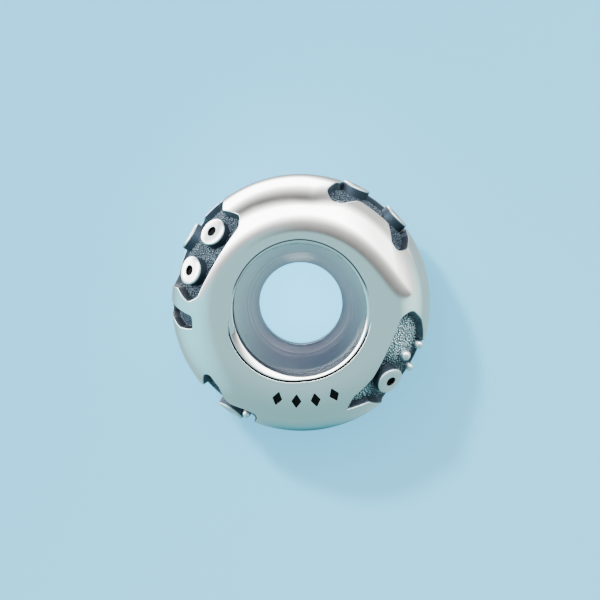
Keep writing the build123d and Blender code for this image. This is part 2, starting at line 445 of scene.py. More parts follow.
loops = [list(range(starts[i], starts[i + 1])) for i in range(len(sheet) - 1)]
sheet_points = np.concatenate(sheet)
sheet_faces = faces_by(sheet_points, triangles(sheet_points, loops), border)
for rim in rims:
    sheet_faces = faces_by(sheet_points, sheet_faces, rim, within=False)
print("sheet:", len(sheet_points), "points,", len(sheet_faces), "triangles")

# %% [markdown]
# ## The lips and the bore
# Inside the band the silver turns over a small rounded lip, slopes in to a throat and opens behind it
# into a groove, where the soft ring sits. This is turned on a lathe, so it is a profile swept round the
# axis. Close rows at the lip keep its reflection crisp. A fine line runs round outside the lip: on the
# lower half of the face it is sunk and dark, and on the upper half it is a flat hairline of painted shade.
# The lip's roll and the wall below it are painted darker on the lower half than on the upper half.

# %% Profile of the bore, from the front face's edge to the back's, as radius and height above the middle
LINE_OUTER, LINE_INNER, LINE_DEPTH = 2.766, 2.686, 0.090        # the fine line outside each lip
LINE_SLOPE, LIP_LAND = 0.006, 0.002             # widths of the line's slopes, and of the flat inside it
LIP_ARC, LIP_ARC_TILTS = 0.322, (17, 20, 23, 26, 29, 33, 36)    # broad soft chamfer
LIP_ROLL, LIP_ROLL_TILTS = 0.09, (42, 48, 56, 64, 74, 84)       # where it rolls over into the bore
THROAT, THROAT_TOP, THROAT_FOOT = 2.55, 1.40, 1.34              # radius, and heights of its two edges
THROAT_ROUNDING, THROAT_RISE = 0.004, 0.02
LIP_FOOT = 1.50                                 # the front lip's rows stand higher than this
GROOVE, GROOVE_ROW = 3.10, 0.7                  # radius, and height of a row in its wall
CHAMFER_WIDTH = LIP_ARC * (sin(radians(LIP_ARC_TILTS[-1])) - sin(radians(LIP_ARC_TILTS[0])))
CHAMFER_DROP = LIP_ARC * (cos(radians(LIP_ARC_TILTS[0])) - cos(radians(LIP_ARC_TILTS[-1])))

# Oxide and painted shade, as a pair: on the lower half of the lip, and on the upper half. The sunk line's
# lower value is oxide in its groove, while the flat hairline above and the darker lower half of the roll and
# throat wall are painted shade
LINE_EDGE, LINE_SIDE, LINE_MIDDLE = (0.0, 0.0), (1.9, 0.4), (2.0, 1.9)
LIP_OXIDE, ROLLED_OXIDE_AND_SHADE, ROLLED_FROM = (0.0, 0.1), (1.2, 0.35), 50      # the second from a tilt on
ABOVE_THROAT, THROAT_OXIDE, GROOVE_OXIDE = (1.2, 0.3), (0.4, 0.4), (0.7, 0.7)

# Where each begins and where it is full, by the height on the face of the place on the lip, from -1 to 1
LOWER_HALF, SUNK_LINE, HAIRLINE = (0.05, -0.30), (-0.10, -0.55), (0.20, 0.40)
LOWER_HALF_TURN = radians(20.0)     # the lower half begins this much higher on the left than on the right
BoreRow = namedtuple("BoreRow", "radius height oxide line chamfer", defaults=(0.0, 0.0))


def lip_profile():
    """Half of the profile, from the band's edge to the groove's middle."""
    rows = [BoreRow(LINE_OUTER, HALF, LINE_EDGE, 0.0, 1.0),
            BoreRow(LINE_OUTER - LINE_SLOPE, HALF, LINE_SIDE, LINE_DEPTH / 2, 1.0),
            BoreRow((LINE_OUTER + LINE_INNER) / 2, HALF, LINE_MIDDLE, LINE_DEPTH, 1.0),
            BoreRow(LINE_INNER + LINE_SLOPE, HALF, LINE_SIDE, LINE_DEPTH / 2, 1.0),
            BoreRow(LINE_INNER, HALF, LIP_OXIDE, 0.0, 1.0)]
    radius, height, tilt = LINE_INNER - LIP_LAND, HALF, LIP_ARC_TILTS[0]
    chamfer_end = radius - CHAMFER_WIDTH
    for size, tilts in ((LIP_ARC, LIP_ARC_TILTS[1:]), (LIP_ROLL, LIP_ROLL_TILTS)):
        for next_tilt in tilts:
            radius -= size * (sin(radians(next_tilt)) - sin(radians(tilt)))
            height -= size * (cos(radians(tilt)) - cos(radians(next_tilt)))
            tilt = next_tilt
            rows.append(BoreRow(radius, height, ROLLED_OXIDE_AND_SHADE if tilt > ROLLED_FROM else LIP_OXIDE, 0.0,
                                max(0.0, (radius - chamfer_end) / CHAMFER_WIDTH)))
    return rows + [BoreRow(THROAT + THROAT_ROUNDING, THROAT_TOP + THROAT_RISE, ABOVE_THROAT),
                   BoreRow(THROAT, THROAT_TOP - THROAT_ROUNDING, THROAT_OXIDE),
                   BoreRow(THROAT + THROAT_ROUNDING, THROAT_FOOT, GROOVE_OXIDE),
                   BoreRow(GROOVE, THROAT_FOOT, GROOVE_OXIDE), BoreRow(GROOVE, GROOVE_ROW, GROOVE_OXIDE)]


def share_of(value, start, full):
    """0 at the start, 1 where it is full, and even between."""
    return np.clip((value - start) / (full - start), 0.0, 1.0)


def bore_ring(row, around, extra):
    """Points of one row of the bore, and their oxide with painted shade."""
    lower = share_of(np.sin(around + LOWER_HALF_TURN), *LOWER_HALF)
    upper = 1 - lower
    if row.line:
        lower, upper = share_of(np.sin(around), *SUNK_LINE), share_of(np.sin(around), *HAIRLINE)
    radius = row.radius + extra * row.chamfer
    drop = extra ** 2 / (2 * SECTION) * row.chamfer
    if row.height > LIP_FOOT:
        drop = drop + CHAMFER_DROP * extra / CHAMFER_WIDTH * (1 - row.chamfer)
    height = HALF + row.height - (1 if row.height > 0 else -1) * (abs(row.line) * lower + drop)
    points = np.stack([radius * np.cos(around), radius * np.sin(around), np.minimum(height, 2 * HALF)], -1)
    return points, row.oxide[0] * lower + row.oxide[1] * upper


front = lip_profile()
bore = front + [row._replace(height=-row.height, line=-row.line) for row in reversed(front)]
print("bore rows:", len(bore), "narrowest radius:", min(row.radius for row in bore))

# %% [markdown]
# ## The silver body
# After blackening, the bead was buffed again. The wheel reached into some of the sunk floors and left
# them brighter, so a table says where, how far and how much. Then all the parts of the skin are joined
# into one closed mesh: the sheet, the walls, the floors and the bore.

# %% Places where the sunk floors were rubbed bright again
Rub = namedtuple("Rub", "around pitch reach share")
RUBS = (Rub(343.0, 47.0, 0.75, 1.0), Rub(306.0, 50.0, 0.42, 0.80), Rub(320.0, 28.0, 0.70, 0.35),
        Rub(150.0, 47.0, 0.30, 0.12), Rub(150.0, 20.0, 0.25, 0.20), Rub(429.0, 45.0, 0.35, 0.40),
        Rub(392.0, 44.0, 0.30, 0.25))
RUB_FADE = (0.7, 1.7)               # times its reach: full up to the first, gone at the second
LEAST_RUBBED = 0.06


def rubbed(angles):
    """How far the floor at each place was rubbed bright."""
    share = np.full(len(angles), LEAST_RUBBED)
    for rub in RUBS:
        away = np.linalg.norm((angles - np.radians([rub.around, rub.pitch])) * SPREAD, axis=1)
        share = np.maximum(share, rub.share * share_of(away / rub.reach, *RUB_FADE[::-1]))
    return share


print("rubbed at the first spot:", rubbed(np.radians([[RUBS[0].around, RUBS[0].pitch]])))

# %% Put the silver body together
FLOOR_RUBBED = 0.32                 # how much of the rubbing reaches the floor between the pebbles
verts, normals, oxide, faces = [], [], [], []


def add_points(points, shade, normal=None):
    """Adds points to the body, and gives the indices of them."""
    start = sum(len(part) for part in verts)
    verts.append(points)
    oxide.append(np.ones(len(points)) * shade)
    normals.append(np.zeros_like(points) if normal is None else normal)
    return np.arange(start, start + len(points))


def strip(above, below):
    """Triangles between two closed rows of points."""
    a, b, c, d = above, np.roll(above, -1), np.roll(below, -1), below
    return np.concatenate([np.stack([a, b, c], -1), np.stack([a, c, d], -1)])


sheet_angles = sheet_points / SPREAD
index = add_points(band_point(*sheet_angles.T), 0.0, band_normal(*sheet_angles.T))
right_start, top_start = COLUMNS + 1, COLUMNS + RISES
index[COLUMNS] = 0                  # the sheet's two ends are one line on the bead
index[right_start:top_start] = np.arange(starts[1] - 1, starts[1] - RISES, -1)
index[top_start] = top_start + COLUMNS
faces.append(index[sheet_faces])

for k, (rows, (grid_angles, floor_faces)) in enumerate(zip(sunk, floors)):
    above = np.arange(starts[k + 1], starts[k + 2])
    for row in rows[1:]:
        below = add_points(band_point(*row.angles.T, row.lift), row.oxide)
        faces.append(strip(above, below))
        above = below
    floor_oxide = rows[-1].oxide - FLOOR_RUBBED * rubbed(grid_angles)
    joined = np.concatenate([above, add_points(band_point(*grid_angles.T, rows[-1].lift), floor_oxide)])
    faces.append(joined[floor_faces])

above = index[top_start:top_start + COLUMNS + 1][::-1][:COLUMNS]
for row in bore:
    below = add_points(*bore_ring(row, columns[:-1], extra_chamfer(columns[:-1]) * (row.height > 0)))
    faces.append(strip(above, below))
    above = below
faces.append(strip(above, index[:COLUMNS]))
print("body:", sum(map(len, verts)), "points,", sum(map(len, faces)), "triangles")

# %% Make it a mesh, with the band's exact normals
def add_attribute(mesh, name, values):
    """Stores a number or a vector for each point of a mesh."""
    values = np.asarray(values, np.float32)
    kind, key = ("FLOAT", "value") if values.ndim == 1 else ("FLOAT_VECTOR", "vector")
    mesh.attributes.new(name, kind, "POINT").data.foreach_set(key, values.ravel())


def smoothed(mesh, bm):
    """Turns the faces outward and smooth, and keeps them in the mesh."""
    bmesh.ops.recalc_face_normals(bm, faces=bm.faces)
    for face in bm.faces:
        face.smooth = True
    bm.to_mesh(mesh)


faces = np.concatenate(faces)
used = np.unique(faces)
body_mesh = bpy.data.meshes.new("silver_body")
body_mesh.from_pydata((np.concatenate(verts)[used] * MM).tolist(), [], np.searchsorted(used, faces).tolist())
body_mesh.update()
body_mesh.polygons.foreach_set("use_smooth", [True] * len(body_mesh.polygons))
add_attribute(body_mesh, "oxide", np.concatenate(oxide)[used])
body_mesh.normals_split_custom_set_from_vertices(np.concatenate(normals)[used].tolist())
silver_body = bpy.data.objects.new("silver_body", body_mesh)
bpy.context.collection.objects.link(silver_body)

check = bmesh.new()
check.from_mesh(body_mesh)
open_edges = sum(1 for edge in check.edges if len(edge.link_faces) != 2)
print("open edges:", open_edges, "volume mm3:", round(check.calc_volume(signed=True) * 1e9, 2))
check.free()

# %% [markdown]
# ## Finishes
# Polished silver is a metal with a nearly clear mirror, broken by faint buffing lines. Where the bead is
# sunk it was blackened with liver of sulphur, and the high spots were rubbed bright again. One attribute
# on the mesh says how much blackening each point kept, so one recipe serves every silver piece. The same
# attribute also carries painted shade: walls that look up to +Y, the lower half of the lip and a flat
# hairline on its upper half are painted darker. A little oxide looks blue, as a thin film does, and more
# looks black. The recipe is made twice: mirror bright for the body, and satin for the buttons and domes,
# which the wheel didn't reach as well.

# %% Helpers for node trees
USUAL_NOISE = (0.3, 0.7)            # nearly all of a noise lies between these


def new_material(name):
    """A material, its tree, its shader, and the coordinates of the object that wears it."""
    material = bpy.data.materials.new(name)
    material.use_nodes = True
    tree = material.node_tree
    tree.nodes.clear()
    shader, output = tree.nodes.new("ShaderNodeBsdfPrincipled"), tree.nodes.new("ShaderNodeOutputMaterial")
    tree.links.new(shader.outputs[0], output.inputs["Surface"])
    return material, tree, shader.inputs, tree.nodes.new("ShaderNodeTexCoord").outputs["Object"]


def add_node(tree, kind, values=None, **settings):
    """A node with its settings and its sockets' values, or links where a value is a socket."""
    node = tree.nodes.new(kind)
    for key, value in settings.items():
        setattr(node, key, value)
    for key, value in (values or {}).items():
        if isinstance(value, bpy.types.NodeSocket):
            tree.links.new(value, node.inputs[key])
        else:
            node.inputs[key].default_value = value
    return node


def maths(tree, operation, *values, **settings):
    """The result of a sum on one or two values."""
    node = add_node(tree, "ShaderNodeMath", dict(enumerate(values)), operation=operation, **settings)
    return node.outputs[0]


def noise(tree, coords, scale, detail=3.0, roughness=0.5):
    """Soft random patches, whose scale is in patches to a metre."""
    return add_node(tree, "ShaderNodeTexNoise", {"Vector": coords, "Scale": scale, "Detail": detail,
                                                 "Roughness": roughness}).outputs["Fac"]


def ramp(tree, value, low, high, to_low=0.0, to_high=1.0):
    """Carries a value from one range into another, and stops at its ends."""
    return add_node(tree, "ShaderNodeMapRange", {"Value": value, "From Min": low, "From Max": high,
                                                 "To Min": to_low, "To Max": to_high}).outputs["Result"]


def from_noise(tree, coords, grain, to_low=0.0, to_high=1.0):
    """Noise whose usual range is stretched between two values."""
    return ramp(tree, noise(tree, coords, *grain), *USUAL_NOISE, to_low, to_high)


def mix_colours(tree, share, a, b, **settings):
    """A mix of two colours, each a socket or three numbers."""
    a, b = [value if isinstance(value, bpy.types.NodeSocket) else (*value, 1.0) for value in (a, b)]
    return add_node(tree, "ShaderNodeMix", {0: share, 6: a, 7: b}, data_type="RGBA", **settings).outputs[2]


print("helpers ready")

# %% Silver, bright on the high places and blackened in the low ones
BRIGHT_SILVER = (0.93, 0.92, 0.90)
FILMED = (0.57, 0.75, 0.79)
BLACKENED = (0.044, 0.062, 0.084)
SOOTED_AND_SHADED = (0.012, 0.011, 0.010)      # bottoms of the finest holes and lines, and painted shade on walls that look up to +Y and on the lip's hairline, where the value goes on from 1 to 2
MOTTLE, BUFFING, GRIT = (9000, 4.0, 0.6), (2500, 3.0, 0.55), (22000, 4.0, 0.7)      # scale, detail, roughness
FILM_AT, BLACK_AT, SOOT_AND_SHADE_AT = (0.05, 0.35), (0.25, 1.0), (1.0, 2.0)      # oxide and painted shade where each begins and is full
UNEVENNESS = 0.05                   # of the oxide, either way
BLACKENED_ROUGHNESS = 0.60
BRIGHT_GRIT, BLACKENED_GRIT, GRIT_HEIGHT = 0.004, 0.4, 0.00002


def silver_finish(name, smoothest, roughest):
    """Silver that is polished to a roughness between two values, and blackened where the stored oxide and
    painted shade are high.
    """
    material, tree, shader, coords = new_material(name)
    kept_oxide_and_shade = add_node(tree, "ShaderNodeAttribute", attribute_name="oxide").outputs["Fac"]
    uneven = maths(tree, "MULTIPLY", from_noise(tree, coords, MOTTLE, -UNEVENNESS, UNEVENNESS), kept_oxide_and_shade)
    blackening = maths(tree, "ADD", kept_oxide_and_shade, uneven, use_clamp=True)
    colour = mix_colours(tree, ramp(tree, blackening, *FILM_AT), BRIGHT_SILVER, FILMED)
    colour = mix_colours(tree, ramp(tree, blackening, *BLACK_AT), colour, BLACKENED)
    tree.links.new(mix_colours(tree, ramp(tree, kept_oxide_and_shade, *SOOT_AND_SHADE_AT), colour, SOOTED_AND_SHADED), shader["Base Color"])
    buffed = from_noise(tree, coords, BUFFING, smoothest, roughest)
    rough = add_node(tree, "ShaderNodeMix", {0: blackening, 2: buffed, 3: BLACKENED_ROUGHNESS}).outputs[0]
    tree.links.new(rough, shader["Roughness"])
    shader["Metallic"].default_value = 1.0
    strength = ramp(tree, blackening, 0.0, 1.0, BRIGHT_GRIT, BLACKENED_GRIT)
    bump = add_node(tree, "ShaderNodeBump", {"Strength": strength, "Height": noise(tree, coords, *GRIT),
                                             "Distance": GRIT_HEIGHT})
    tree.links.new(bump.outputs[0], shader["Normal"])
    return material


silver = silver_finish("silver", 0.07, 0.12)
satin_silver = silver_finish("satin_silver", 0.26, 0.34)
body_mesh.materials.append(silver)
print("silver nodes:", len(silver.node_tree.nodes))

# %% [markdown]
# ## Silicone
# The stopper ring is milky silicone rubber. Light goes a little way into it and comes out again, which
# subsurface scattering gives. Its colour is painted darker round its hole, as painted shade.

# %% Translucent silicone
THIN_MILK, THICK_MILK, PAINTED_HOLE_SHADE = (0.34, 0.40, 0.44), (0.37, 0.43, 0.47), (0.27, 0.33, 0.38)
DARKER_FROM, LIGHTER_FROM = 1.62, 1.88          # distances from the axis where the painted shade round the hole is full, and where it ends
CLOUD, SHEEN = (500, 1.0, 0.4), (700, 1.0, 0.4)

silicone, tree, shader, coords = new_material("silicone")
milk = mix_colours(tree, from_noise(tree, coords, CLOUD), THIN_MILK, THICK_MILK)
flat = add_node(tree, "ShaderNodeVectorMath", {0: coords, 1: (1.0, 1.0, 0.0)}, operation="MULTIPLY")
from_axis = add_node(tree, "ShaderNodeVectorMath", {0: flat.outputs[0]}, operation="LENGTH").outputs["Value"]
# Painted shade: the colour is darker round the hole, fading out between the two distances
past_painted_hole_shade = ramp(tree, from_axis, DARKER_FROM * MM, LIGHTER_FROM * MM)
tree.links.new(mix_colours(tree, past_painted_hole_shade, PAINTED_HOLE_SHADE, milk), shader["Base Color"])
tree.links.new(from_noise(tree, coords, SHEEN, 0.24, 0.28), shader["Roughness"])
for name, value in (("IOR", 1.41), ("Specular IOR Level", 0.25), ("Subsurface Weight", 0.35),
                    ("Subsurface Radius", (0.8, 1.0, 1.1)), ("Subsurface Scale", 0.4 * MM)):
    shader[name].default_value = value
print("silicone nodes:", len(tree.nodes))

# %% [markdown]
# ## Buttons and domes
# Seven round buttons with a punched dot, and four small domes, rise from the floors. On the real bead
# they are one casting with it. Repeated pieces are a job for Geometry Nodes: one button, placed on marked
# points and turned to stand square on the band. The buttons are then bent, so that their tops follow it.


# %% One button and one dome, as turned profiles
def turned(name, profile, segments):
    """A closed mesh from a profile of (radius, height, oxide) that starts and ends on the axis."""
    bm = bmesh.new()
    layer = bm.verts.layers.float.new("oxide")
    rings = []
    for radius, height, shade in profile:
        spots = segments if radius > 0 else 1
        ring = [bm.verts.new((radius * cos(2 * pi * k / spots) * MM, radius * sin(2 * pi * k / spots) * MM,
                              height * MM)) for k in range(spots)]
        for vert in ring:
            vert[layer] = shade
        rings.append(ring)
    for low, high in zip(rings, rings[1:]):
        for k in range(segments):
            corners = [low[k % len(low)], low[(k + 1) % len(low)],
                       high[(k + 1) % len(high)], high[k % len(high)]]
            bm.faces.new(list(dict.fromkeys(corners)))
    mesh = bpy.data.meshes.new(name)
    smoothed(mesh, bm)
    bm.free()
    return bpy.data.objects.new(name, mesh)


def arc(radius, height, size, start, end, steps, shade_start, shade_end):
    """Rows along an arc round (radius, height), by degrees up from level."""
    rows = []
    for k in range(steps + 1):
        a, t = radians(start + (end - start) * k / steps), k / steps
        shade = shade_start + (shade_end - shade_start) * t
        rows.append((radius + size * cos(a), height + size * sin(a), shade))
    return rows


BUTTON_RADIUS, BUTTON_RISE, DOT_RADIUS, DOT_DEPTH = 0.55, 0.08, 0.19, 0.16
BUTTON_EDGE, DOT_EDGE, TOP_RING = 0.06, 0.03, 0.36              # two roundings, and a ring between them
ROOT = PATCH_DEPTH + 0.05                                       # the copies reach into the floor
button = turned("button", (
    [(0, -ROOT, 1.0), (BUTTON_RADIUS, -ROOT, 1.0), (BUTTON_RADIUS, -PATCH_DEPTH + 0.02, 1.0)]
    + [(BUTTON_RADIUS, height, 1.02) for height in (-0.20, -0.04, BUTTON_RISE - 0.075)]
    + arc(BUTTON_RADIUS - BUTTON_EDGE, BUTTON_RISE - BUTTON_EDGE, BUTTON_EDGE, 5, 84, 5, 0.6, 0.0)
    + [(TOP_RING, BUTTON_RISE, 0.0)]
    + arc(DOT_RADIUS + DOT_EDGE, BUTTON_RISE - 0.04, DOT_EDGE, 84, 180, 4, 0.0, 1.5)
    + [(DOT_RADIUS, BUTTON_RISE - 0.06, 2.0)]
    + arc(DOT_RADIUS - BUTTON_EDGE, BUTTON_RISE - DOT_DEPTH + BUTTON_EDGE, BUTTON_EDGE, 0, -90, 3, 2.0, 2.0)
    + [(0, BUTTON_RISE - DOT_DEPTH, 2.0)]), 48)
dome = turned("dome", (
    [(0, -1.8, 1.0), (1.0, -1.8, 1.0), (1.0, -0.6, 0.7)]
    + arc(0, 0, 1.0, 0, 80, 6, 0.15, 0.0)
    + [(0, 1.0, 0.0)]), 32)
print("button:", len(button.data.vertices), "points, dome:", len(dome.data.vertices), "points")

# %% A tree that stands copies on marked points
Spot = namedtuple("Spot", "around pitch lift size")
BUTTONS = [Spot(*angles, 0.0, 1.0) for angles in (
    (161.2, 41.5), (138.9, 41.5), (148.7, -1.0), (64.5, -2.0), (42.5, -2.0), (-39.2, 40.5), (236.8, 12.0))]
DOME_RISE = 0.05
DOMES = [Spot(around, pitch, DOME_RISE - share * BUTTON_RADIUS, share * BUTTON_RADIUS)
         for around, pitch, share in ((-24.7, 36.0, 0.38), (-18.7, 14.0, 0.30), (-30.0, 11.0, 0.27),
                                      (243.7, 25.0, 0.30))]


def tree_with(name, **inputs):
    """A Geometry Nodes tree with named inputs of given kinds, and what goes in and comes out."""
    tree = bpy.data.node_groups.new(name, "GeometryNodeTree")
    for label, kind in {"Geometry": "Geometry", **inputs}.items():
        tree.interface.new_socket(label, in_out="INPUT", socket_type="NodeSocket" + kind)
    tree.interface.new_socket("Geometry", in_out="OUTPUT", socket_type="NodeSocketGeometry")
    return tree, tree.nodes.new("NodeGroupInput").outputs, tree.nodes.new("NodeGroupOutput").inputs[0]


def attribute(tree, name, kind="FLOAT"):
    """A named attribute of the geometry."""
    return add_node(tree, "GeometryNodeInputNamedAttribute", {"Name": name}, data_type=kind).outputs[0]


def copies_on(tree, points, piece, rotation, scale):
    """Real copies of a piece, one on each point."""
    source = add_node(tree, "GeometryNodeObjectInfo", {"Object": piece, "As Instance": True})
    copies = add_node(tree, "GeometryNodeInstanceOnPoints", {
        "Points": points, "Instance": source.outputs["Geometry"], "Rotation": rotation, "Scale": scale})
    return add_node(tree, "GeometryNodeRealizeInstances", {"Geometry": copies.outputs[0]}).outputs[0]


def finish_with(tree, geometry, finish, result):
    """Gives the geometry its finish, and sends it out."""
    node = add_node(tree, "GeometryNodeSetMaterial", {"Geometry": geometry, "Material": finish})
    tree.links.new(node.outputs[0], result)


def standing_copies_tree():
    """Copies of a piece that stand square on the band, on points that carry a size and a direction."""
    tree, given, result = tree_with("standing_copies", Piece="Object", Finish="Material")
    turn = add_node(tree, "FunctionNodeAlignRotationToVector",
                    {"Vector": attribute(tree, "out", "FLOAT_VECTOR")}, axis="Z")
    real = copies_on(tree, given["Geometry"], given["Piece"], turn.outputs[0], attribute(tree, "size"))
    finish_with(tree, real, given["Finish"], result)
    return tree


def baked(name, source, tree, values):
    """Runs a tree on a source object, and gives its result as a plain mesh object."""
    modifier = source.modifiers.new(tree.name, "NODES")
    modifier.node_group = tree
    for item in tree.interface.items_tree:
        if item.in_out == "INPUT" and item.name in values:
            modifier[item.identifier] = values[item.name]
    bpy.context.collection.objects.link(source)
    graph = bpy.context.evaluated_depsgraph_get()
    mesh = bpy.data.meshes.new_from_object(source.evaluated_get(graph), depsgraph=graph)
    mesh.name = name
    bpy.data.objects.remove(source)
    piece = bpy.data.objects.new(name, mesh)
    bpy.context.collection.objects.link(piece)
    return piece


def marked_points(spots):
    """A mesh of bare points with a size and an outward direction each."""
    around, pitch, lift, size = np.array(spots).T
    out = band_normal(np.radians(around), np.radians(pitch))
    points = band_point(np.radians(around), np.radians(pitch)) + lift[:, None] * out
    mesh = bpy.data.meshes.new("marks")
    mesh.from_pydata((points * MM).tolist(), [], [])
    add_attribute(mesh, "size", size)
    add_attribute(mesh, "out", out)
    return bpy.data.objects.new("marks", mesh)


def bent_over_band(piece, spots):
    """Bends each standing copy so that its top follows the band, as if both were one cast surface."""
    vertices = piece.data.vertices
    points = np.empty(len(vertices) * 3)
    vertices.foreach_get("co", points)
    for spot, part in zip(spots, points.reshape(len(spots), -1, 3)):
        at = np.radians([spot.around, spot.pitch])
        along, up, out = tangent_frame(*at)
        offset = part / MM - band_point(*at)
        radius = CORE + SECTION * cos(at[1])
        sag = (offset @ along) ** 2 * cos(at[1]) / radius + (offset @ up) ** 2 / SECTION
        part -= np.outer(sag / 2, out) * MM
    vertices.foreach_set("co", points)
    piece.data.update()


copies = standing_copies_tree()
buttons = baked("buttons", marked_points(BUTTONS), copies, {"Piece": button, "Finish": satin_silver})
bent_over_band(buttons, BUTTONS)
domes = baked("domes", marked_points(DOMES), copies, {"Piece": dome, "Finish": satin_silver})
print("buttons:", len(buttons.data.polygons), "faces, domes:", len(domes.data.polygons), "faces")

# %% [markdown]
# ## Pebbled floors
# The floors are cast with a grain of tiny rounded pebbles, each a few hundredths of a millimetre. Bump
# alone would look flat at the edge of a patch, so the pebbles are real: a Geometry Nodes tree scatters
# low domes over each floor with a fixed seed, in different sizes, with their tops rubbed brighter.

# %% Scatter pebbles on the floors
PEBBLE_SPACING, PEBBLE_SEED = 0.076, 7
PEBBLE_SIZE = (0.75, 1.25)
MOST_PEBBLES = 4e8                  # to a square metre, more than the spacing lets stand
FINE_GRAIN = 0.45                   # size of the pebbles in the narrow strip, whose floor is nearly plain
pebble = turned("pebble", [(0, -0.02, 1.0), (0.050, -0.02, 1.0), (0.046, 0.018, 0.85), (0.028, 0.038, 0.25),
                           (0, 0.045, 0.05)], 7)


def floor_sheet():
    """The patches' floors as one loose sheet."""
    points, tris, shares, grain, start = [], [], [], [], 0
    for patch, rows, (grid_angles, floor_faces) in zip(PATCHES, sunk, floors):
        angles = np.concatenate([rows[-1].angles, grid_angles])
        points.append(band_point(*angles.T, rows[-1].lift))
        shares.append(rubbed(angles))
        grain.append(np.full(len(angles), FINE_GRAIN if patch.name == "strip" else 1.0))
        tris.append(floor_faces + start)
        start += len(angles)
    mesh = bpy.data.meshes.new("floor_sheet")
    mesh.from_pydata((np.concatenate(points) * MM).tolist(), [], np.concatenate(tris).tolist())
    mesh.update()
    add_attribute(mesh, "rubbed", np.concatenate(shares))
    add_attribute(mesh, "grain", np.concatenate(grain))
    return bpy.data.objects.new("floor_sheet", mesh)


def pebble_tree():
    """Pebbles scattered over a sheet, which lose oxide as far as the sheet was rubbed."""
    tree, given, result = tree_with("pebbled_floor", Pebble="Object", Spacing="Float", Smallest="Float",
                                    Largest="Float", Seed="Int", Finish="Material")
    spots = add_node(tree, "GeometryNodeDistributePointsOnFaces", {
        "Mesh": given["Geometry"], "Distance Min": given["Spacing"], "Density Max": MOST_PEBBLES,
        "Seed": given["Seed"]}, distribute_method="POISSON").outputs
    size = add_node(tree, "FunctionNodeRandomValue", {
        2: given["Smallest"], 3: given["Largest"], "Seed": given["Seed"]}, data_type="FLOAT").outputs[1]
    scale = maths(tree, "MULTIPLY", size, attribute(tree, "grain"))
    real = copies_on(tree, spots["Points"], given["Pebble"], spots["Rotation"], scale)
    most_lost = maths(tree, "SUBTRACT", 1.0, attribute(tree, "oxide"))
    lost = maths(tree, "MULTIPLY", most_lost, attribute(tree, "rubbed"))
    shaded = add_node(tree, "GeometryNodeStoreNamedAttribute", {
        "Geometry": real, "Name": "oxide", "Value": maths(tree, "SUBTRACT", 1.0, lost)},
        data_type="FLOAT", domain="POINT")
    finish_with(tree, shaded.outputs[0], given["Finish"], result)
    return tree


pebbles = baked("pebbles", floor_sheet(), pebble_tree(), {
    "Pebble": pebble, "Spacing": PEBBLE_SPACING * MM, "Smallest": PEBBLE_SIZE[0], "Largest": PEBBLE_SIZE[1],
    "Seed": PEBBLE_SEED, "Finish": silver})
oxide_kept = np.zeros(len(pebbles.data.vertices), np.float32)
pebbles.data.attributes["oxide"].data.foreach_get("value", oxide_kept)
print("oxide kept on pebbles: least", oxide_kept.min(), "mean", oxide_kept.mean())
print("pebbles:", len(pebbles.data.polygons) // len(pebble.data.polygons),
      "with", len(pebbles.data.polygons), "faces")

# %% [markdown]
# ## The stopper ring
# The soft ring is moulded: a straight hole in the middle and a funnel opening to each face, slightly
# hollow, with a fine line from the mould on each side of the crease. Its shape is one profile carried
# round the axis, so a Geometry Nodes tree sweeps the profile along a circle.

# %% Sweep the ring's profile round the axis
RING_OUTER, RING_HEIGHT, RING_MOUTH = 3.07, 1.31, 2.52
HOLE_RADIUS, HOLE_LAND = 1.60, 0.50
CREASE, HOLE_END = Vector((2.00, 0.55)), Vector((HOLE_RADIUS, HOLE_LAND / 2))
FUNNEL_HOLLOW = 0.057               # how far the funnel's wall is hollowed, as in a shallow bowl
MOULD_LINE_AT, MOULD_LINE_DEPTH, MOULD_LINE_HALF = 0.08, 0.03, 0.025    # from the crease, deep, half wide
OUTER_ROUNDING, WALL_ROUNDING, LINE_ROUNDING, INNER_ROUNDING = 0.05, 1.6, 0.01, 0.12
RING_STEPS = 144


def mould_line(towards):
    """Three corners of a fine groove beside the crease. The silicone lies outward and below."""
    along = (towards - CREASE).normalized()
    into = Vector((abs(along.y), -abs(along.x)))
    middle = CREASE + along * MOULD_LINE_AT
    half = along * MOULD_LINE_HALF
    return [middle - half, middle + into * MOULD_LINE_DEPTH, middle + half]


def ring_profile():
    """Rounded profile of the ring as a closed curve, with its X measured from the hole's radius."""
    mouth = Vector((RING_MOUTH, RING_HEIGHT))
    chord = CREASE - mouth
    into = Vector((-chord.y, chord.x)).normalized()
    wall = [mouth + chord * t + into * FUNNEL_HOLLOW * 4 * t * (1 - t) for t in (0.2, 0.4, 0.6, 0.8)]
    upper = [(corner, rounding) for corners, rounding in (
        ([Vector((RING_OUTER, RING_HEIGHT)), mouth], OUTER_ROUNDING), (wall, WALL_ROUNDING),
        (mould_line(wall[-1])[::-1], LINE_ROUNDING), ([CREASE], INNER_ROUNDING),
        (mould_line(HOLE_END), LINE_ROUNDING), ([HOLE_END], INNER_ROUNDING)) for corner in corners]
    lower = [(Vector((corner.x, -corner.y)), rounding) for corner, rounding in reversed(upper)]
    points = rounded(*zip(*(upper + lower)))
    curve = bpy.data.curves.new("ring_profile", "CURVE")
    spline = curve.splines.new("POLY")
    spline.points.add(len(points) - 1)
    for spot, (radius, height) in zip(spline.points, points):
        spot.co = ((radius - HOLE_RADIUS) * MM, height * MM, 0, 1)
    spline.use_cyclic_u = True
    return bpy.data.objects.new("ring_profile", curve)


